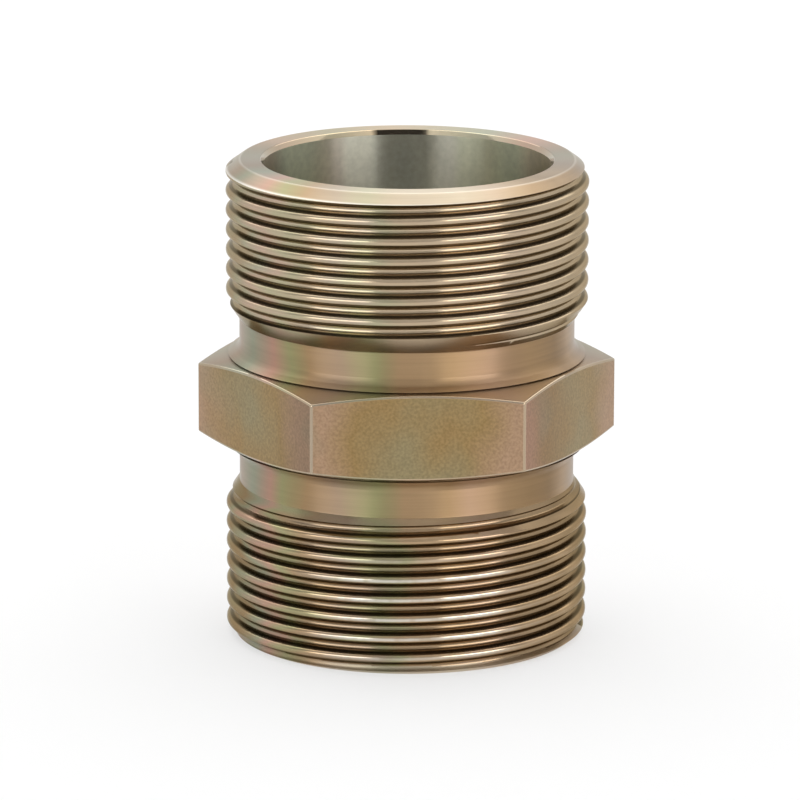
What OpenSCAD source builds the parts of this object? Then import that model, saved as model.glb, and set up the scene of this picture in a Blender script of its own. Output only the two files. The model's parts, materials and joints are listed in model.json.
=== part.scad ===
/* [Overall] */
// Length over both ends
overall_h = 56; // [52:0.5:64]
// Diameter of the through bore
bore_d = 33.2; // [28:0.1:35]

/* [Threads] */
// Major diameter of the parallel pipe thread on both ends
thread_d = 41.91; // [41.5:0.01:42.5]
// Axial distance from one crest to the next, 11 turns to the inch
thread_pitch = 2.309; // [2.2:0.001:2.4]
// Depth of the thread from crest to root
thread_depth = 1.479; // [1.4:0.001:1.5]
// Angle between each flank and a plane square to the axis
flank_angle = 27.5; // [27:0.1:28]
// Radius that rounds the root of the thread
root_radius = 0.317; // [0.28:0.001:0.34]
// Length of each threaded end, with its chamfer and its tapered run-out
thread_h = 18.5; // [16:0.1:21]
// Direction in which the lower groove starts
lower_start = 125; // [0:5:355]
// Direction in which the upper groove starts
upper_start = 205; // [0:5:355]

/* [Ends] */
// Outer diameter of the flat ring on the upper end face
upper_face_d = 38.6; // [37.8:0.1:38.8]
// Height of the outer chamfer at the upper end
upper_chamfer_h = 1.2; // [1:0.1:1.9]
// Outer diameter of the flat ring on the lower end face
lower_face_d = 39.6; // [39.3:0.1:40.2]
// Height of the outer chamfer at the lower end
lower_chamfer_h = 0.9; // [0.7:0.1:1.9]
// How far the bore widens at each mouth, measured on the radius
mouth_widen = 0.35; // [0.2:0.05:0.7]
// Height of the inner chamfer at each mouth
mouth_chamfer_h = 0.6; // [0.3:0.05:1]

/* [Necks] */
// Diameter of the plain neck between each thread and the hexagon
neck_d = 38.8; // [37.8:0.1:38.8]
// Height of the tapered run-out from the thread to the neck
runout_h = 2.3; // [1.5:0.1:3]
// Radius of the cove that joins each neck to the hexagon
cove_radius = 1.3; // [0.8:0.1:1.6]
// Height of the small step between each cove and the hexagon
collar_h = 0.25; // [0.1:0.05:0.5]

/* [Hexagon] */
// Width across the flats of the hexagon
hex_flats = 42; // [41.8:0.1:46]
// Height of the hexagon at the edge of its collars
hex_h = 10; // [8:0.5:12]
// Slope of the turned chamfer that takes down the hexagon's corners
hex_chamfer_angle = 15; // [10:1:30]

/* [Fineness] */
// Straight segments in one turn of the thread
turn_steps = 36; // [24:4:48]

/* [Hidden] */
$fn = 96;
plating = [0.62, 0.53, 0.37];

thread_r = thread_d / 2;
root_r = thread_r - thread_depth;
upper_face_r = upper_face_d / 2;
lower_face_r = lower_face_d / 2;
neck_r = neck_d / 2;
bore_r = bore_d / 2;
collar_r = neck_r + cove_radius;
corner_r = hex_flats / 2 / cos(30);
half_h = overall_h / 2;
// How far a cutting shape or a buried shape reaches past the surface that it has to cross
overlap = 1;
// How far the groove's cutter reaches past the crests, which is less than where its turns would meet
crest_clear = 0.12;
// Widens each ring of corners, so that the middle of every straight segment has the true radius
segment_scale = 1 / cos(180 / turn_steps);

// Where the rounded root runs into the flanks
touch_w = root_radius * cos(flank_angle);
touch_r = root_r + root_radius * (1 - sin(flank_angle));
// Half the width of the groove where its cutter ends, just past the crests
open_r = thread_r + crest_clear;
open_w = touch_w + (open_r - touch_r) * tan(flank_angle);
// Section of the groove, as height above its middle and radius
groove_section = [
    [-open_w, open_r],
    [-touch_w, touch_r],
    [0, root_r],
    [touch_w, touch_r],
    [open_w, open_r]
];

// Corners of the groove's section, a number of segments along its right-hand helix
function groove_ring(step) = [
    for (corner = groove_section)
        let (
            turn = 360 * step / turn_steps,
            r = corner[1] * segment_scale
        )
        [r * cos(turn), r * sin(turn), corner[0] + thread_pitch * step / turn_steps]
];

// The helical groove as one solid that starts at the origin's height
module groove(length) {
    corners = len(groove_section);
    steps = ceil(length / thread_pitch * turn_steps);
    points = [for (step = [0 : steps]) each groove_ring(step)];
    sides = [
        for (step = [0 : steps - 1], corner = [0 : corners - 1])
            let (
                ring = step * corners,
                beside = (corner + 1) % corners
            )
            each [
                [ring + corner, ring + corners + beside, ring + beside],
                [ring + corner, ring + corners + corner, ring + corners + beside]
            ]
    ];
    first_cap = [for (corner = [0 : corners - 1]) corner];
    last_cap = [for (corner = [corners - 1 : -1 : 0]) steps * corners + corner];
    polyhedron(points, concat([first_cap], sides, [last_cap]));
}

// Blank for one end, from the middle of the hexagon up to the end face
module end_blank(face_r, chamfer_h) {
    runout_z = half_h - thread_h;
    collar_z = hex_h / 2 + collar_h;
    cove_z = collar_z + cove_radius;
    rotate_extrude() {
        polygon([
            [0, 0],
            [neck_r, 0],
            [neck_r, runout_z],
            [thread_r, runout_z + runout_h],
            [thread_r, half_h - chamfer_h],
            [face_r, half_h],
            [0, half_h]
        ]);
        difference() {
            translate([neck_r - overlap, 0])
                square([overlap + cove_radius, cove_z]);
            translate([collar_r, cove_z])
                circle(r = cove_radius);
        }
    }
}

// Everything that is cut from one end: its thread, and the chamfer at the bore's mouth
module end_cuts(groove_start) {
    translate([0, 0, half_h + thread_pitch])
        rotate([180, 0, groove_start])
            groove(thread_h + thread_pitch);
    translate([0, 0, half_h - mouth_chamfer_h])
        cylinder(
            h = mouth_chamfer_h + overlap,
            r1 = bore_r,
            r2 = bore_r + mouth_widen * (1 + overlap / mouth_chamfer_h)
        );
}

// The hexagon about its own middle, with its corners turned down above and below
module hexagon() {
    rim_r = corner_r + overlap;
    chamfer_h = (rim_r - collar_r) * tan(hex_chamfer_angle);
    intersection() {
        cylinder(h = hex_h, r = corner_r, center = true, $fn = 6);
        translate([0, 0, -hex_h / 2])
            rotate_extrude()
                polygon([
                    [0, 0],
                    [collar_r, 0],
                    [rim_r, chamfer_h],
                    [rim_r, hex_h - chamfer_h],
                    [collar_r, hex_h],
                    [0, hex_h]
                ]);
    }
}

module nipple_body() {
    color(plating)
        translate([0, 0, half_h])
            difference() {
                union() {
                    end_blank(upper_face_r, upper_chamfer_h);
                    rotate([180, 0, 0])
                        end_blank(lower_face_r, lower_chamfer_h);
                    hexagon();
                }
                cylinder(h = overall_h + 2 * overlap, r = bore_r, center = true);
                end_cuts(upper_start);
                rotate([180, 0, 0])
                    end_cuts(-lower_start);
            }
}

nipple_body();
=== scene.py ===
import json
from math import cos, hypot, pi, radians, sin, tan

import bmesh
import bpy
from mathutils import Matrix, Vector


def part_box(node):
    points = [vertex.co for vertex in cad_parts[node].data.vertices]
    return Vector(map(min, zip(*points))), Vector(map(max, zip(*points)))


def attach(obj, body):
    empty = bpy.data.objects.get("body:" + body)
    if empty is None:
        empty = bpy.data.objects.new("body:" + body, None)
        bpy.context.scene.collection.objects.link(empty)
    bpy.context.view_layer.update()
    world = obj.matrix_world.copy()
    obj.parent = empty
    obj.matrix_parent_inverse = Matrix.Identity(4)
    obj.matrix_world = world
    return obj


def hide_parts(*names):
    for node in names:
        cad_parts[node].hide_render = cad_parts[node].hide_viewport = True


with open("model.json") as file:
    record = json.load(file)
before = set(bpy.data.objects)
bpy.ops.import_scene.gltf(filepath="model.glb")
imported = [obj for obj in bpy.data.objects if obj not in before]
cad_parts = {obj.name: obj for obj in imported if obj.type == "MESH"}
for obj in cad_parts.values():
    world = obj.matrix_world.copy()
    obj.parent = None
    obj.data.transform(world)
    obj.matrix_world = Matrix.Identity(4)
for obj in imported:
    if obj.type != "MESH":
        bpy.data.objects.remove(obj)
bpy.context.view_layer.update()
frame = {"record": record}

mm = 0.001  # shapes are made in millimetres and brought to the frame's metres at the end
bodyLow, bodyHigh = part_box("nipple_body")
bodyLength = (bodyHigh.z - bodyLow.z) / mm
hexCornerR = (bodyHigh.x - bodyLow.x) / 2 / mm


def mountSize(name, key):
    mounts = frame["record"]["mounts"]
    return next(m["dims"][key] for m in mounts if m["name"] == name)


boreR = mountSize("through_bore", "r_mm")
threadR = mountSize("upper_thread", "r_mm")


# Small helpers for meshes

def newObject(name, bm):
    mesh = bpy.data.meshes.new(name)
    bm.to_mesh(mesh)
    bm.free()
    made = bpy.data.objects.new(name, mesh)
    bpy.context.scene.collection.objects.link(made)
    return made


def addWire(bm, points):
    # a chain of edges in the XZ plane, through (radius, height) points
    verts = [bm.verts.new((r, 0, z)) for r, z in points]
    for a, b in zip(verts, verts[1:]):
        bm.edges.new((a, b))
    return verts


def spinAll(bm, steps):
    # turns everything drawn so far once round the Z axis and closes it
    bmesh.ops.spin(bm, geom=bm.verts[:] + bm.edges[:], cent=(0, 0, 0), axis=(0, 0, 1),
                   angle=2 * pi, steps=steps, use_merge=True)
    bmesh.ops.remove_doubles(bm, verts=bm.verts[:], dist=0.001)
    bmesh.ops.recalc_face_normals(bm, faces=bm.faces[:])


def combine(target, tool, operation):
    # joins, cuts or intersects target with tool, which is used up
    change = target.modifiers.new(operation.lower(), "BOOLEAN")
    change.operation = operation
    change.solver = "EXACT"
    change.object = tool
    depsgraph = bpy.context.evaluated_depsgraph_get()
    mesh = bpy.data.meshes.new_from_object(target.evaluated_get(depsgraph))
    target.modifiers.clear()
    target.data = mesh
    bpy.data.objects.remove(tool)


# The turned body

turned = {
    "steps": 144,            # columns round the axis, also of the hexagon's chamfer and the thread
    "upperFaceR": 19.3,      # outer edge of the flat ring on the upper end face
    "upperChamfer": 1.2,     # height of the outer chamfer at the upper end
    "lowerFaceR": 19.8,
    "lowerChamfer": 0.9,
    "crestTrim": 0.006,      # how far the blank's cylinder trims the crests
    "mouthWiden": 0.35,      # the inner chamfer at the mouth, on the radius
    "mouthChamfer": 0.6,     # and its height
    "threadLength": 18.5,    # from the end face to the neck
    "lowerThreadLength": 18.3,
    "runout": 2.3,           # height of the tapered run-out
    "neckR": 19.4,
    "cove": 1.3,             # height and width of the cove
    "coveFirst": (0.22, 0.62),  # where the cove's two slopes meet, out from the neck and above its rim
    "collarStep": 0.25,      # height of the cove's rim above the hexagon
    "undercut": 0.5,         # how far the step under that rim goes in
    "undercutFall": 0.02,    # and how far it falls on its way
    # rounding of the outline's corners: how far it reaches along both edges, and its segments
    "roundings": {
        "mouthEdge": (0.14, 3),
        "faceEdge": (0.14, 3),
        "runoutEdge": (0.14, 3),
        "neckEnd": (0.08, 2),
        "coveBreak": (0.45, 6),
        "coveTop": (0.06, 2),
    },
}

hexagon = {
    "height": 10.0,          # where its chamfer meets the collar
    "chamferAngle": 15.0,
    "chamferStart": 0.8,     # how far inside the collar the turned chamfer starts
    "edgeRound": 0.22,       # bevel on every outer edge
    "roundFrom": 30.0,       # an edge is one that turns by more degrees than this
    "clear": 2.0,            # how far the turning ring reaches past the corners
}

halfLength = bodyLength / 2
collarR = turned["neckR"] + turned["cove"]


def addEndWire(bm, faceR, chamferHeight, threadLength):
    # outline of one end, from the bore at the middle of the hexagon round to its collar
    blankR = threadR - turned["crestTrim"]
    slope = (threadR - faceR) / chamferHeight
    chamferZ = halfLength - (blankR - faceR) / slope
    neckZ = halfLength - threadLength
    runoutZ = neckZ + turned["runout"] * (blankR - turned["neckR"]) / (threadR - turned["neckR"])
    collarZ = hexagon["height"] / 2 + turned["collarStep"]
    outward, upward = turned["coveFirst"]
    stepR = collarR - turned["undercut"]
    outline = {
        "bore": (boreR, 0),
        "mouthDepth": (boreR, halfLength - turned["mouthChamfer"]),
        "mouthEdge": (boreR + turned["mouthWiden"], halfLength),
        "faceEdge": (faceR, halfLength),
        "chamferEdge": (blankR, chamferZ),
        "runoutEdge": (blankR, runoutZ),
        "neckEnd": (turned["neckR"], neckZ),
        "coveTop": (turned["neckR"], collarZ + turned["cove"]),
        "coveBreak": (turned["neckR"] + outward, collarZ + upward),
        "coveRim": (collarR, collarZ),
        "stepRoot": (stepR, collarZ - turned["undercutFall"]),
        "middle": (stepR, 0),
    }
    corners = dict(zip(outline, addWire(bm, outline.values())))
    for name, (reach, segments) in turned["roundings"].items():
        bmesh.ops.bevel(bm, geom=[corners[name]], offset=reach, offset_type="OFFSET", affect="VERTICES",
                        segments=segments, profile=0.5, material=-1)


def makeTurnedBody():
    bm = bmesh.new()
    addEndWire(bm, turned["lowerFaceR"], turned["lowerChamfer"], turned["lowerThreadLength"])
    bmesh.ops.scale(bm, vec=(1, 1, -1), verts=bm.verts[:])
    addEndWire(bm, turned["upperFaceR"], turned["upperChamfer"], turned["threadLength"])
    bmesh.ops.remove_doubles(bm, verts=bm.verts[:], dist=0.001)
    spinAll(bm, turned["steps"])
    return newObject("nipple", bm)


def makeHexagon():
    # the bar, too high at first, with a corner on the X axis
    bm = bmesh.new()
    bmesh.ops.create_circle(bm, cap_ends=True, segments=6, radius=hexCornerR)
    bmesh.ops.rotate(bm, verts=bm.verts[:], cent=(0, 0, 0), matrix=Matrix.Rotation(pi / 6, 3, "Z"))
    bmesh.ops.translate(bm, verts=bm.verts[:], vec=(0, 0, -hexagon["height"]))
    top = bmesh.ops.extrude_face_region(bm, geom=bm.faces[:])
    raised = [v for v in top["geom"] if isinstance(v, bmesh.types.BMVert)]
    bmesh.ops.translate(bm, verts=raised, vec=(0, 0, 2 * hexagon["height"]))
    bmesh.ops.recalc_face_normals(bm, faces=bm.faces[:])
    prism = newObject("hexagonBar", bm)

    # a ring with the double cone that takes down the corners, from inside the turned body's wall
    fall = tan(radians(hexagon["chamferAngle"]))
    innerR, coneR = (boreR + collarR) / 2, collarR - hexagon["chamferStart"]
    outerR = hexCornerR + hexagon["clear"]
    half = hexagon["height"] / 2
    coneZ = half + (collarR - coneR) * fall
    bm = bmesh.new()
    addWire(bm, [
        (innerR, 0),
        (innerR, coneZ),
        (coneR, coneZ),
        (outerR, half - (outerR - collarR) * fall),
        (outerR, 0),
    ])
    upperHalf = bm.verts[:] + bm.edges[:]
    bmesh.ops.mirror(bm, geom=upperHalf, matrix=Matrix.Identity(4), merge_dist=0.001, axis="Z")
    halfStep = Matrix.Rotation(pi / turned["steps"], 3, "Z")
    bmesh.ops.rotate(bm, verts=bm.verts[:], cent=(0, 0, 0), matrix=halfStep)
    spinAll(bm, turned["steps"])
    combine(prism, newObject("cornerTurning", bm), "INTERSECT")

    bm = bmesh.new()
    bm.from_mesh(prism.data)
    bmesh.ops.remove_doubles(bm, verts=bm.verts[:], dist=0.002)
    sharp = radians(hexagon["roundFrom"])
    edges = [e for e in bm.edges if e.is_manifold and e.calc_face_angle() > sharp]
    bmesh.ops.bevel(bm, geom=edges, offset=hexagon["edgeRound"], offset_type="OFFSET", affect="EDGES",
                    segments=3, profile=0.5, material=-1, clamp_overlap=True)
    bm.to_mesh(prism.data)
    bm.free()
    return prism


# The threads

thread = {
    "pitch": 2.309,
    "flankAngle": 27.5,
    "rootRound": 0.44,
    "crestRound": 0.48,      # rounding of each crest's two edges
    "crestFlat": 0.62,       # width of the crest between its flanks, if they met it in corners
    "arcSteps": 4,           # segments in each rounding
    "lowerStart": 125.0,     # direction in which the lower groove starts
    "upperStart": 205.0,
    "runoutFrom": 16.0,      # where the lower groove starts to get deeper, from the end face
    "runoutTo": 18.0,
    "runoutDepth": 0.34,     # and by how much, so that it runs out close to the neck
    "clear": 1.2,            # the cutter's outer radius against that of the crests
}


def threadProfile():
    # half of one turn, from the middle of the groove to the middle of the crest
    halfPitch, lean = thread["pitch"] / 2, radians(thread["flankAngle"])
    rootRound, crestRound = thread["rootRound"], thread["crestRound"]
    sweep = [(pi / 2 - lean) * k / thread["arcSteps"] for k in range(thread["arcSteps"] + 1)]
    # the crest's edge: its rounding touches both the crest and the flank
    edgeZ = halfPitch - thread["crestFlat"] / 2
    crestZ = edgeZ + crestRound * tan((pi / 2 - lean) / 2)
    crest = [(threadR - crestRound * (1 - cos(a)), crestZ - crestRound * sin(a)) for a in reversed(sweep)]
    # the root's rounding touches the same flank
    rootR = threadR - edgeZ / tan(lean) + rootRound * (1 / sin(lean) - 1)
    root = [(rootR + rootRound * (1 - cos(a)), rootRound * sin(a)) for a in sweep]
    return root + crest + [(threadR, halfPitch)]


def makeGrooveCutter(startAngle, deepen):
    # Everything outside the thread's surface, from past the end face down to the neck.
    # It is made for the upper end of the part, whose end face is at half its length.
    pitch, steps = thread["pitch"], turned["steps"]
    half = threadProfile()
    onePitch = [(r, -z) for r, z in reversed(half[1:])] + half
    # The groove's middle is a pitch above the end face in the start direction. The lowest turn
    # starts in the middle of the groove, so that the cutter ends beside the neck without a step.
    topZ = halfLength + pitch
    turns = int(turned["threadLength"] / pitch) + 3
    points = []
    for turn in range(turns):
        first = len(onePitch) // 2 if turn == 0 else 1
        points += [(r, topZ + (turn - turns + 1) * pitch + z) for r, z in onePitch[first:]]
    bm = bmesh.new()
    addWire(bm, points)
    bmesh.ops.spin(bm, geom=bm.verts[:] + bm.edges[:], cent=(0, 0, 0), axis=(0, 0, 1),
                   dvec=(0, 0, pitch / steps), angle=2 * pi, steps=steps, use_merge=False)
    bmesh.ops.remove_doubles(bm, verts=bm.verts[:], dist=0.002)
    if deepen:
        low, high = halfLength - thread["runoutTo"], halfLength - thread["runoutFrom"]
        for v in bm.verts:
            share = min(max((high - v.co.z) / (high - low), 0), 1)
            r = hypot(v.co.x, v.co.y)
            v.co.xy *= (r - thread["runoutDepth"] * share) / r
    rim = [e for e in bm.edges if e.is_boundary]
    outer = bmesh.ops.extrude_edge_only(bm, edges=rim)["geom"]
    outerVerts = [v for v in outer if isinstance(v, bmesh.types.BMVert)]
    bmesh.ops.scale(bm, vec=(thread["clear"], thread["clear"], 1), verts=outerVerts)
    outerEdges = [e for e in outer if isinstance(e, bmesh.types.BMEdge) and e.is_boundary]
    bmesh.ops.bridge_loops(bm, edges=outerEdges)
    bmesh.ops.recalc_face_normals(bm, faces=bm.faces[:])
    start = Matrix.Rotation(radians(startAngle), 3, "Z")
    bmesh.ops.rotate(bm, verts=bm.verts[:], cent=(0, 0, 0), matrix=start)
    return bm


body = makeTurnedBody()
print("turned body", len(body.data.polygons))
combine(body, makeHexagon(), "UNION")
print("with hexagon", len(body.data.polygons))
upper = makeGrooveCutter(thread["upperStart"], False)
combine(body, newObject("upperGroove", upper), "DIFFERENCE")
lower = makeGrooveCutter(-thread["lowerStart"], True)
bmesh.ops.rotate(lower, verts=lower.verts[:], cent=(0, 0, 0), matrix=Matrix.Rotation(pi, 3, "X"))
combine(body, newObject("lowerGroove", lower), "DIFFERENCE")
print("threaded", len(body.data.polygons))


# Plating

film = {
    "olive": (0.26, 0.220, 0.120),
    "tan": (0.35, 0.228, 0.118),
    "pink": (0.38, 0.248, 0.155),
    "green": (0.30, 0.285, 0.138),
    "brown": (0.25, 0.158, 0.075),
    "khaki": (0.30, 0.200, 0.085),
    "sage": (0.285, 0.217, 0.108),
    "rose": (0.41, 0.235, 0.17),
    "mauve": (0.30, 0.215, 0.145),
    "straw": (0.43, 0.285, 0.155),
    "sea": (0.24, 0.250, 0.165),
    "pale": (0.62, 0.56, 0.44),  # where the film is thinner, and as painted highlight
    "zincAndHighlight": (0.74, 0.71, 0.64),  # pale zinc, where the film is rubbing off and as painted highlight
    # the colours round the axis, in degrees to the right of the front
    "zones": [
        (-180, "tan"), (-150, "olive"), (-125, "pink"), (-100, "olive"), (-82, "brown"), (-70, "sea"),
        (-58, "rose"), (-48, "green"), (-38, "tan"), (-26, "mauve"), (-15, "green"), (-5, "straw"),
        (6, "straw"), (14, "tan"), (24, "pink"), (38, "tan"), (54, "brown"), (64, "tan"), (80, "brown"),
        (95, "olive"), (120, "rose"), (145, "sea"), (180, "tan"),
    ],
    "wobble": 30.0,          # degrees by which the zones wander
    "coat": 0.10,            # clear film over the colours
    "coatRoughness": 0.2,
}


class Plating:
    # one metal material and the few nodes that the kinds of surface share

    def __init__(self, name, roughness, stretch=None):
        self.material = bpy.data.materials.new(name)
        self.material.use_nodes = True
        self.nodes = self.material.node_tree.nodes
        self.links = self.material.node_tree.links
        self.shader = self.nodes["Principled BSDF"]
        self.shader.inputs["Metallic"].default_value = 1.0
        self.shader.inputs["Roughness"].default_value = roughness
        self.shader.inputs["Coat Weight"].default_value = film["coat"]
        self.shader.inputs["Coat Roughness"].default_value = film["coatRoughness"]
        self.coords = self.nodes.new("ShaderNodeTexCoord").outputs["Object"]
        split = self.nodes.new("ShaderNodeSeparateXYZ")
        self.links.new(self.coords, split.inputs[0])
        self.x, self.y, self.z = split.outputs
        if stretch:
            self.turningMarks(stretch)

    def feed(self, value, socket):
        if isinstance(value, (int, float)):
            socket.default_value = value
        else:
            self.links.new(value, socket)

    def math(self, operation, first, second=0.0):
        node = self.nodes.new("ShaderNodeMath")
        node.operation = operation
        self.feed(first, node.inputs[0])
        self.feed(second, node.inputs[1])
        return node.outputs[0]

    def radius(self):
        # distance from the axis in millimetres
        xSquare, ySquare = self.math("MULTIPLY", self.x, self.x), self.math("MULTIPLY", self.y, self.y)
        return self.math("MULTIPLY", self.math("SQRT", self.math("ADD", xSquare, ySquare)), 1 / mm)

    def noise(self, scale, stretch=(1, 1, 1), detail=2.0):
        # scale is in features to the metre
        mapping = self.nodes.new("ShaderNodeMapping")
        mapping.inputs["Scale"].default_value = stretch
        self.links.new(self.coords, mapping.inputs["Vector"])
        noise = self.nodes.new("ShaderNodeTexNoise")
        noise.inputs["Scale"].default_value = scale
        noise.inputs["Detail"].default_value = detail
        self.links.new(mapping.outputs["Vector"], noise.inputs["Vector"])
        return noise.outputs["Fac"]

    def ramp(self, value, stops):
        # stops are (position, brightness or colour)
        node = self.nodes.new("ShaderNodeValToRGB")
        elements = node.color_ramp.elements
        while len(elements) < len(stops):
            elements.new(0.5)
        for element, (position, colour) in zip(elements, stops):
            element.position = position
            element.color = (*colour, 1) if isinstance(colour, tuple) else (colour,) * 3 + (1,)
        self.links.new(value, node.inputs["Fac"])
        return node.outputs["Color"]

    def mix(self, share, first, second, blend="MIX"):
        node = self.nodes.new("ShaderNodeMix")
        node.data_type = "RGBA"
        node.blend_type = blend
        self.feed(share, node.inputs[0])
        for colour, socket in ((first, node.inputs[6]), (second, node.inputs[7])):
            if isinstance(colour, tuple):
                socket.default_value = (*colour, 1)
            else:
                self.links.new(colour, socket)
        return node.outputs[2]

    def turn(self, wobble):
        # share of a turn round the axis, 0.5 at the front, with a soft wander
        angle = self.math("ARCTAN2", self.x, self.math("MULTIPLY", self.y, -1))
        wander = self.math("MULTIPLY", self.math("SUBTRACT", self.noise(70, (1, 1, 0.6)), 0.5), wobble / 360)
        share = self.math("ADD", self.math("MULTIPLY", angle, 1 / (2 * pi)), 0.5)
        return self.math("FRACT", self.math("ADD", share, wander))

    def zones(self, shift=0.0):
        # soft zones of the film's interference colours, which run along the axis
        turn = self.math("FRACT", self.math("ADD", self.turn(film["wobble"]), shift))
        return self.ramp(turn, [(0.5 + degrees / 360, film[name]) for degrees, name in film["zones"]])

    def around(self, stops, wobble=0.0, fromBack=False):
        # stops are (degrees, brightness or colour), to the right of the front or the left of the back
        turn = self.turn(wobble)
        if fromBack:
            turn = self.math("FRACT", self.math("ADD", turn, 0.5))
        return self.ramp(turn, [(0.5 + degrees / 360, shade) for degrees, shade in stops])

    def turningMarks(self, stretch):
        # the lathe's marks run round the axis, so reflections blur along it
        self.shader.inputs["Anisotropic"].default_value = stretch
        self.shader.inputs["Anisotropic Rotation"].default_value = 0.25
        tangent = self.nodes.new("ShaderNodeTangent")
        tangent.direction_type = "RADIAL"
        tangent.axis = "Z"
        self.links.new(tangent.outputs["Tangent"], self.shader.inputs["Tangent"])

    def shaded(self, colour, *shades):
        # colour multiplied by each shade in turn
        for shade in shades:
            colour = self.mix(1.0, colour, shade, "MULTIPLY")
        return colour

    def grained(self, colour, value, strength):
        # colour made lighter and darker by a value from 0 to 1
        return self.shaded(colour, self.ramp(value, [(0.3, 1 - strength), (0.7, 1 + strength)]))

    def finish(self, colour):
        self.links.new(colour, self.shader.inputs["Base Color"])
        return self.material


turnedFilm = {
    "roughness": 0.40,
    "stretch": 0.85,         # how far the turning marks blur reflections along the axis
    "lines": 2600,           # the lines left by the lathe, to the metre
    "lineStrength": 0.06,
    "endFrom": [(0.94, 0.0), (0.96, 1.0)],  # where an end's colours start, in shares of half the length
    # how pale the ring on each end is, in degrees to the right of the front: partly film colour, partly
    # painted highlight toward the front and back
    "ringPaleAndHighlight": [
        (-180, 0.4), (-150, 0.25), (-120, 0.1), (-40, 0.1), (-24, 0.4), (-4, 0.65), (14, 0.65),
        (26, 0.35), (42, 0.12), (120, 0.1), (150, 0.25), (180, 0.4),
    ],
    "ringWobble": 8.0,
    "ringFlat": (0.86, 0.89, 0.93),         # the flat ring's colour against its chamfer's
    "ringBlend": 0.15,       # width over which the two blend
    # how far two edges are paled, by distance outward from them, the flat ring's and the crests': partly
    # film rubbing off, partly painted highlight along the edges
    "faceWearAndGlint": [(-0.15, 0.0), (-0.03, 0.3), (0.03, 0.3), (0.2, 0.0)],
    "crestWearAndGlint": [(-0.305, 0.0), (-0.105, 0.8)],
    # painted shade under each cove, as brightness by height above the hexagon
    "undercut": [(0.05, 1.0), (0.08, 0.25), (0.21, 0.25), (0.24, 1.0)],
}


def turnedPlating():
    made = Plating("turnedPlating", turnedFilm["roughness"], turnedFilm["stretch"])
    fromMiddle = made.math("ABSOLUTE", made.math("SUBTRACT", made.z, halfLength * mm))
    height = made.math("MULTIPLY", fromMiddle, 1 / (halfLength * mm))
    atEnd = made.ramp(height, turnedFilm["endFrom"])
    # painted highlight on each end ring, mixed with the film's pale colour, strongest toward the front
    paleAndHighlight = made.math("MULTIPLY", atEnd, made.around(turnedFilm["ringPaleAndHighlight"], turnedFilm["ringWobble"]))
    colour = made.mix(paleAndHighlight, made.zones(), film["pale"])
    # the ring's own colour, and its two edges paled as rubbing and painted highlight
    farthest, faceR = threadR + 1, turned["upperFaceR"]
    outward = made.math("DIVIDE", made.radius(), farthest)
    blend = [((faceR - turnedFilm["ringBlend"]) / farthest, 1.0), (faceR / farthest, 0.0)]
    flat = made.math("MULTIPLY", atEnd, made.ramp(outward, blend))
    colour = made.mix(flat, colour, made.shaded(colour, turnedFilm["ringFlat"]))
    wearAndGlint = [((faceR + gap) / farthest, share) for gap, share in turnedFilm["faceWearAndGlint"]]
    wearAndGlint += [((threadR + gap) / farthest, share) for gap, share in turnedFilm["crestWearAndGlint"]]
    wornAndGlinting = made.math("MULTIPLY", atEnd, made.ramp(outward, wearAndGlint))
    colour = made.mix(wornAndGlinting, colour, film["zincAndHighlight"])
    # painted shade in the narrow notch under each cove
    collarZ = hexagon["height"] / 2
    undercutShade = [((collarZ + z) / halfLength, share) for z, share in turnedFilm["undercut"]]
    colour = made.shaded(colour, made.ramp(height, undercutShade))
    lines = made.noise(turnedFilm["lines"], (0.02, 0.02, 1), 3.0)
    return made.finish(made.grained(colour, lines, turnedFilm["lineStrength"]))


threadFilm = {
    "roughness": 0.21,
    "stretch": 0.6,
    "edgeTint": (0.62, 0.56, 0.46),  # of reflections at a low angle
    "streaks": 60.0,         # degrees by which the zones wander from one crest to the next
    # how pale each thread is, as painted highlight, the upper one more as painted light from above, and the
    # heights between which one blends into the other, in shares of the part's length
    "lowerPale": (0.12, 0.12, 0.12),
    "upperPale": (0.40, 0.40, 0.40),
    "upperFrom": [(0.4, 0.0), (0.6, 1.0)],
    # brightness from this far under the crests, at 0, up to the crests, at 1
    "depth": 1.5,
    "flankShade": [(0.42, 1.0), (0.52, 0.23), (0.68, 0.23), (0.8, 1.0)],
    "lowerShade": [(0.5, 0.82), (0.8, 1.02)],
    # by the height of the normal: how far a face looks up, and the shade of one that looks down
    "upward": [(0.62, 0.0), (0.8, 1.0)],
    "downwardShade": [(0.6, 1.0), (0.8, 0.23)],
    # brightness of the upper run-out, the normals and heights that belong to it, and its blend
    "runoutShade": 0.5,
    "runoutFacing": [(0.4, 0.0), (0.5, 1.0)],
    "runoutHalf": [(0.5, 0.0), (0.52, 1.0)],
    "runoutBlend": 0.03,
    # how much the crests of the lower thread are paled, in degrees to the right of the front: partly
    # rubbing, partly a painted highlight at the front
    "rubAndHighlight": [
        (-180, 0.3), (-140, 0.0), (-36, 0.0), (-20, 0.7), (20, 0.75), (36, 0.1), (90, 0.0), (150, 0.5),
        (180, 0.3),
    ],
    "rubAndHighlightWobble": 8.0,
    # and by height in the part, by depth as above, and in spots
    "rubAndHighlightHeight": [(0.02, 0.3), (0.06, 1.0), (0.2, 1.0), (0.26, 0.0)],
    "rubAndHighlightDepth": [(0.965, 0.0), (0.99, 1.0)],
    "rubAndHighlightSpots": [(0.3, 0.5), (0.5, 1.0)],
}


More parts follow.
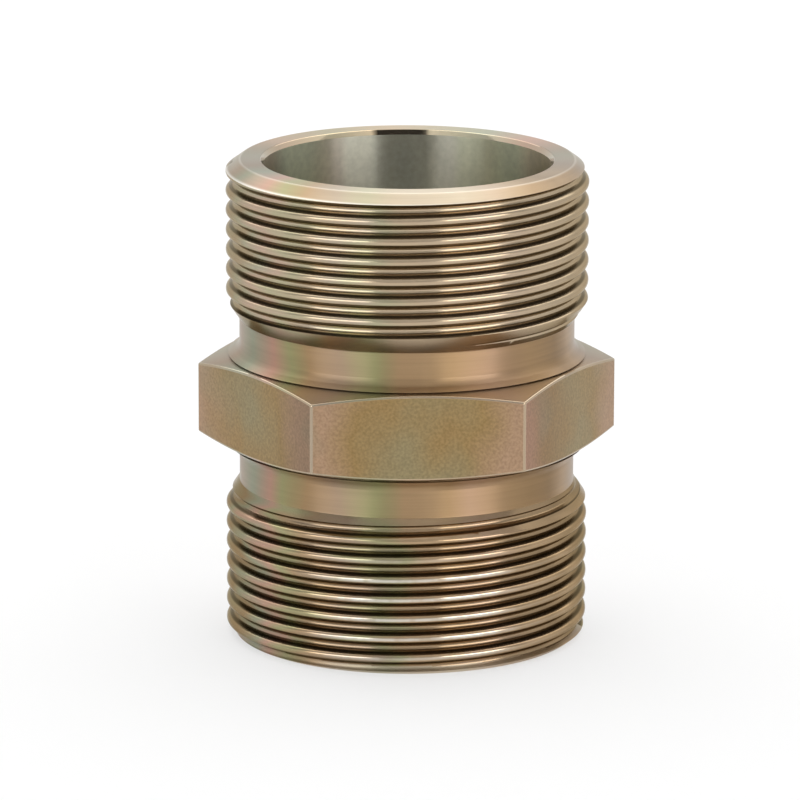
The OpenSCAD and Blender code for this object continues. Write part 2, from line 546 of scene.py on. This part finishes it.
def threadPlating():
    # painted shade on the flanks, which lie in each other's shade, and on the lower crests a painted
    # highlight with some rubbing
    made = Plating("threadPlating", threadFilm["roughness"], threadFilm["stretch"])
    made.shader.inputs["Specular Tint"].default_value = (*threadFilm["edgeTint"], 1)
    rise = made.math("SUBTRACT", made.radius(), threadR - threadFilm["depth"])
    depth = made.math("DIVIDE", rise, threadFilm["depth"])
    height = made.math("DIVIDE", made.z, bodyLength * mm)
    facing = made.nodes.new("ShaderNodeSeparateXYZ")
    made.links.new(made.nodes.new("ShaderNodeTexCoord").outputs["Normal"], facing.inputs[0])
    up, down = facing.outputs[2], made.math("MULTIPLY", facing.outputs[2], -1)

    streaks = made.math("SUBTRACT", made.noise(60, (1, 1, 8)), 0.5)
    streaks = made.math("MULTIPLY", streaks, threadFilm["streaks"] / 360)
    zones = made.zones(made.math("SUBTRACT", streaks, made.math("MULTIPLY", depth, 0.01)))
    # paler threads: painted highlight, strongest on the upper thread as painted light from above
    above = made.ramp(height, threadFilm["upperFrom"])
    zones = made.mix(made.mix(above, threadFilm["lowerPale"], threadFilm["upperPale"]), zones, film["pale"])

    lowerShade = made.mix(above, made.ramp(depth, threadFilm["lowerShade"]), (1, 1, 1))
    flankShade = made.ramp(depth, threadFilm["flankShade"])
    flankShade = made.mix(made.ramp(up, threadFilm["upward"]), (1, 1, 1), flankShade)
    runoutTop = (bodyLength - turned["threadLength"] + turned["runout"]) / bodyLength
    runoutLow = runoutTop - threadFilm["runoutBlend"]
    runoutShade = made.ramp(height, [(runoutLow, threadFilm["runoutShade"]), (runoutTop, 1.0)])
    onRunout = made.ramp(down, threadFilm["runoutFacing"])
    onRunout = made.math("MULTIPLY", onRunout, made.ramp(height, threadFilm["runoutHalf"]))
    runoutShade = made.mix(onRunout, (1, 1, 1), runoutShade)
    downShade = made.ramp(down, threadFilm["downwardShade"])
    colour = made.shaded(zones, lowerShade, flankShade, downShade, runoutShade)

    # painted highlight at the front of the lower crests, with some rubbing, as a share by height, depth,
    # direction and spots
    rubAndHighlight = made.ramp(height, threadFilm["rubAndHighlightHeight"])
    rubAndHighlight = made.math("MULTIPLY", rubAndHighlight, made.ramp(depth, threadFilm["rubAndHighlightDepth"]))
    rubAndHighlight = made.math("MULTIPLY", rubAndHighlight, made.around(threadFilm["rubAndHighlight"], threadFilm["rubAndHighlightWobble"]))
    rubAndHighlight = made.math("MULTIPLY", rubAndHighlight, made.ramp(made.noise(500), threadFilm["rubAndHighlightSpots"]))
    return made.finish(made.mix(rubAndHighlight, colour, film["zincAndHighlight"]))


flatFilm = {
    "roughness": 0.42,
    # the film turns pinker toward the hexagon's corners
    "outward": [(0.05, "sage"), (0.3, "khaki"), (0.75, "pink")],
    "outwardFrom": 20.5,     # distance from the axis where the stops above are at 0
    "outwardWidth": 4.0,     # and how far from there they are at 1
    "outwardWander": 0.9,
    "patches": [(0.5, 0.0), (0.6, 0.28)],   # patches of sea by the value of a noise
    # painted shade on the flats beside the front one, with some of the film's colour, in degrees to the
    # right of the front
    "paintedLightTints": [
        (-180, (1, 1, 1)), (-48, (1, 1, 1)), (-36, (0.72, 0.71, 0.7)), (-30.5, (0.68, 0.67, 0.66)),
        (-29.5, (1, 1, 1)), (29.5, (1, 1, 1)), (30.5, (0.84, 0.7, 0.67)), (44, (0.85, 0.78, 0.74)),
        (64, (1, 1, 1)), (180, (1, 1, 1)),
    ],
    "grain": 0.13,           # strength of the fine grain
}


def flatPlating():
    made = Plating("flatPlating", flatFilm["roughness"])
    outward = made.math("SUBTRACT", made.radius(), flatFilm["outwardFrom"])
    outward = made.math("DIVIDE", outward, flatFilm["outwardWidth"])
    wander = made.math("MULTIPLY", made.math("SUBTRACT", made.noise(110), 0.5), flatFilm["outwardWander"])
    outward = made.math("ADD", outward, wander)
    colour = made.ramp(outward, [(place, film[name]) for place, name in flatFilm["outward"]])
    colour = made.mix(made.ramp(made.noise(75), flatFilm["patches"]), colour, film["sea"])
    # painted shade on the flats beside the front one
    colour = made.shaded(colour, made.around(flatFilm["paintedLightTints"]))
    return made.finish(made.grained(colour, made.noise(3200, detail=1.0), flatFilm["grain"]))


boreFilm = {
    "roughness": 0.34,
    "stretch": 0.95,
    "dark": (0.42, 0.42, 0.36),
    "light": (0.52, 0.51, 0.42),
    # painted reflections round the bore, as brightness and tint, in degrees to the left of the back: darkest
    # across from the camera
    "zones": [
        (-180, 1.1), (-90, 1.1), (-57, 1.29), (-44, 1.30), (-36, 0.95), (-31.5, 0.90), (-30, 1.0),
        (-25, 1.02), (-13, 0.97), (-11.5, 0.76), (-2, 0.68), (9, 0.76), (10.5, 1.06), (18, 1.1),
        (23.5, 1.13), (25, 0.99), (30, 1.05), (44, 1.33), (54, 1.32), (90, 1.1), (180, 1.1),
    ],
    "paintedLightTints": [
        (-180, (1, 1, 1)), (-90, (1.0, 0.82, 0.68)), (-62, (1.0, 0.88, 0.74)), (-54, (0.96, 1.0, 0.86)),
        (-26, (0.97, 1.0, 0.9)), (-22, (1, 1, 1)), (22, (1, 1, 1)), (26, (1.0, 0.92, 0.93)),
        (40, (0.97, 1.0, 0.9)), (56, (0.97, 1.0, 0.88)), (68, (1.0, 0.84, 0.76)), (90, (1.0, 0.8, 0.7)),
        (180, (1, 1, 1)),
    ],
    "wobble": 3.0,
    "grain": 0.08,
}


def borePlating():
    made = Plating("borePlating", boreFilm["roughness"], boreFilm["stretch"])
    mottling = made.noise(90, (1, 1, 0.5))
    colour = made.ramp(mottling, [(0.35, boreFilm["dark"]), (0.65, boreFilm["light"])])
    # painted reflections of the room on the bore's wall
    zones = made.around(boreFilm["zones"], boreFilm["wobble"], fromBack=True)
    paintedLightTints = made.around(boreFilm["paintedLightTints"], boreFilm["wobble"], fromBack=True)
    colour = made.shaded(colour, zones, paintedLightTints)
    return made.finish(made.grained(colour, made.noise(1400), boreFilm["grain"]))


# the chamfer at each mouth, and the rounded edges of the hexagon
rimFilm = {
    "roughness": 0.12,
    "pale": 0.35,            # how pale they are
    # painted reflection round the mouth chamfers, as brightness in degrees to the left of the back: black
    # across from the camera, bright beside it
    "zones": [
        (-180, 1.0), (-60, 1.0), (-35, 1.5), (-13, 1.9), (-11, 0.08), (9, 0.08), (11, 1.9), (35, 1.5),
        (60, 1.0), (180, 1.0),
    ],
    "wobble": 3.0,
}


def rimPlating():
    made = Plating("rimPlating", rimFilm["roughness"])
    colour = made.mix(rimFilm["pale"], made.zones(), film["pale"])
    # painted reflection on the mouth chamfers only
    zones = made.around(rimFilm["zones"], rimFilm["wobble"], fromBack=True)
    atMouth = made.math("LESS_THAN", made.radius(), turned["neckR"])
    return made.finish(made.mix(atMouth, colour, made.shaded(colour, zones)))


# The finished body

# distances in millimetres by which a face's middle is told to be on a surface
sorting = {
    "smoothBelow": 28.0,     # edges that turn by fewer degrees than this are shaded smooth
    "onBore": 0.05,
    "onMouth": 0.03,
    "offNeck": 0.03,
    "onFlat": 0.05,
    "offCollar": 0.2,
    "level": 0.93,           # the height of the normal from which a face counts as level
}

kinds = {
    "turned": turnedPlating,
    "flat": flatPlating,
    "bore": borePlating,
    "thread": threadPlating,
    "rim": rimPlating,
}


def kindOf(face):
    # the kind of surface that a face belongs to
    middle = face.calc_center_median()
    r, fromMiddle = hypot(middle.x, middle.y), abs(middle.z - halfLength)
    threadLow = halfLength - turned["threadLength"]
    threadHigh = halfLength - turned["lowerChamfer"]
    flatR = hexCornerR * cos(pi / 6)
    if r < boreR + sorting["onBore"]:
        return "bore"
    if r < boreR + turned["mouthWiden"] - sorting["onMouth"]:
        return "rim"
    if r > turned["neckR"] + sorting["offNeck"] and threadLow < fromMiddle < threadHigh:
        return "thread"
    if fromMiddle < hexagon["height"] / 2:
        if abs(middle.xy.dot(face.normal.xy) - flatR) < sorting["onFlat"]:
            return "flat"
        if r > collarR + sorting["offCollar"] and abs(face.normal.z) < sorting["level"]:
            return "rim"
    return "turned"


def finishBody():
    bm = bmesh.new()
    bm.from_mesh(body.data)
    bmesh.ops.remove_doubles(bm, verts=bm.verts[:], dist=0.001)
    bmesh.ops.dissolve_degenerate(bm, dist=0.0005, edges=bm.edges[:])
    bmesh.ops.translate(bm, verts=bm.verts[:], vec=(0, 0, halfLength))
    for edge in bm.edges:
        edge.smooth = edge.is_manifold and edge.calc_face_angle() < radians(sorting["smoothBelow"])
    for face in bm.faces:
        face.smooth = True
        face.material_index = list(kinds).index(kindOf(face))
    print("open edges", sum(not e.is_manifold for e in bm.edges), "volume", bm.calc_volume())
    bmesh.ops.scale(bm, vec=(mm, mm, mm), verts=bm.verts[:])
    bm.to_mesh(body.data)
    bm.free()


body.data.materials.clear()
for makePlating in kinds.values():
    body.data.materials.append(makePlating())
finishBody()
weighted = body.modifiers.new("evenNormals", "WEIGHTED_NORMAL")
weighted.keep_sharp = True
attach(body, "root")
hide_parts("nipple_body")
print("plating done")


# Studio

studio = {
    "floorSize": 4.0,
    "floorDrop": 0.02 * mm,   # keeps the floor clear of the lower end face
    "floorColour": (0.85, 0.85, 0.85),
    "aim": 27.34 * mm,        # height of the point on the axis that the camera looks at
    "distance": 748.6 * mm,
    "elevation": 13.85,
    "azimuth": -3.55,         # the camera stands a little to the left of the front flat
    "lens": 290.1,
    "sideways": -0.78 * mm,   # how far the aim lies to the left of the axis
    "roll": 0.17,
    "floorGlow": 0.6,         # how much of the floor's own white shows to the camera and in reflections
    "fill": 0.7,              # strength of the room's light on rough surfaces
    # cards that dim the room behind the camera: elevation, distance, width, height and brightness
    "cards": {
        "dimWall": (25, 1.1, 0.84, 0.92, 0.62),
        "dimCeiling": (66, 0.9, 6.0, 0.60, 0.68),
    },
    # azimuth from the camera's direction to its right, elevation, distance, width, height and radiance
    "softboxes": {
        "leftBox": (-44, 10, 0.9, 0.66, 0.38, 2.45),
        "rightBox": (43, 10, 0.9, 0.66, 0.38, 3.0),
        "topBox": (180, 68, 0.85, 1.5, 1.2, 1.4),
    },
}


def seenDirectly(nodes, links):
    # 1 where the camera or a reflection looks at a surface, and 0 for other light
    path = nodes.new("ShaderNodeLightPath")
    glossy = nodes.new("ShaderNodeMath")
    glossy.operation = "MAXIMUM"
    links.new(path.outputs["Is Camera Ray"], glossy.inputs[0])
    links.new(path.outputs["Is Glossy Ray"], glossy.inputs[1])
    both = nodes.new("ShaderNodeMath")
    both.operation = "MAXIMUM"
    links.new(glossy.outputs["Value"], both.inputs[0])
    links.new(path.outputs["Is Transmission Ray"], both.inputs[1])
    return both.outputs["Value"]


def makeFloor():
    bm = bmesh.new()
    bmesh.ops.create_grid(bm, x_segments=1, y_segments=1, size=studio["floorSize"] / 2)
    floor = newObject("floor", bm)
    floor.location.z = -studio["floorDrop"]
    material = bpy.data.materials.new("paleFloor")
    material.use_nodes = True
    nodes, links = material.node_tree.nodes, material.node_tree.links
    shader = nodes["Principled BSDF"]
    shader.inputs["Base Color"].default_value = (*studio["floorColour"], 1)
    shader.inputs["Roughness"].default_value = 0.9
    shader.inputs["Specular IOR Level"].default_value = 0.0
    glow = nodes.new("ShaderNodeEmission")
    glow.inputs["Strength"].default_value = 1.0
    mix = nodes.new("ShaderNodeMixShader")
    seen = seenDirectly(nodes, links)
    share = nodes.new("ShaderNodeMath")
    share.operation = "MULTIPLY"
    share.inputs[1].default_value = studio["floorGlow"]
    links.new(seen, share.inputs[0])
    links.new(share.outputs["Value"], mix.inputs["Fac"])
    links.new(shader.outputs["BSDF"], mix.inputs[1])
    links.new(glow.outputs["Emission"], mix.inputs[2])
    links.new(mix.outputs["Shader"], nodes["Material Output"].inputs["Surface"])
    floor.data.materials.append(material)


def makeWorld():
    world = bpy.data.worlds.new("whiteRoom")
    bpy.context.scene.world = world
    world.use_nodes = True
    nodes, links = world.node_tree.nodes, world.node_tree.links
    background = nodes["Background"]
    background.inputs["Color"].default_value = (1, 1, 1, 1)
    seen = seenDirectly(nodes, links)
    strength = nodes.new("ShaderNodeMapRange")
    strength.inputs["To Min"].default_value = studio["fill"]
    strength.inputs["To Max"].default_value = 1.0
    links.new(seen, strength.inputs["Value"])
    links.new(strength.outputs["Result"], background.inputs["Strength"])


def directionOf(azimuth, elevation):
    # from the object, with the azimuth measured from the camera's direction to its right
    turn, rise = radians(azimuth + studio["azimuth"]), radians(elevation)
    return Vector((sin(turn) * cos(rise), -cos(turn) * cos(rise), sin(rise)))


def makeCard(name, elevation, distance, width, height, brightness):
    # part of the dim room behind the camera, which the camera itself doesn't see
    bm = bmesh.new()
    bmesh.ops.create_grid(bm, x_segments=1, y_segments=1, size=0.5)
    bmesh.ops.scale(bm, vec=(width, height, 1), verts=bm.verts[:])
    card = newObject(name, bm)
    away = directionOf(0, elevation)
    card.location = away * distance
    card.rotation_euler = away.to_track_quat("Z", "Y").to_euler()
    card.visible_camera = False
    material = bpy.data.materials.new(name)
    material.use_nodes = True
    shader = material.node_tree.nodes["Principled BSDF"]
    shader.inputs["Base Color"].default_value = (brightness, brightness, brightness, 1)
    shader.inputs["Roughness"].default_value = 0.9
    card.data.materials.append(material)


def makeSoftbox(name, azimuth, elevation, distance, width, height, radiance):
    light = bpy.data.lights.new(name, "AREA")
    light.shape = "RECTANGLE"
    light.size, light.size_y = width, height
    light.energy = radiance * pi * width * height
    made = bpy.data.objects.new(name, light)
    bpy.context.scene.collection.objects.link(made)
    away = directionOf(azimuth, elevation)
    made.location = Vector((0, 0, studio["aim"])) + away * distance
    made.rotation_euler = away.to_track_quat("Z", "Y").to_euler()


def makeCamera():
    data = bpy.data.cameras.new("camera")
    data.lens = studio["lens"]
    data.sensor_width = 36
    camera = bpy.data.objects.new("camera", data)
    bpy.context.scene.collection.objects.link(camera)
    turn = radians(studio["azimuth"])
    away = directionOf(0, studio["elevation"])
    right = Vector((cos(turn), sin(turn), 0))
    aim = Vector((0, 0, studio["aim"]))
    camera.location = aim + away * studio["distance"]
    look = (camera.location - aim - right * studio["sideways"]).to_track_quat("Z", "Y")
    camera.rotation_euler = (look.to_matrix() @ Matrix.Rotation(radians(studio["roll"]), 3, "Z")).to_euler()
    data.clip_start = 0.01
    bpy.context.scene.camera = camera


makeFloor()
makeWorld()
for name, values in studio["cards"].items():
    makeCard(name, *values)
for name, values in studio["softboxes"].items():
    makeSoftbox(name, *values)
makeCamera()
bpy.context.scene.view_settings.view_transform = "Standard"
print("studio done")
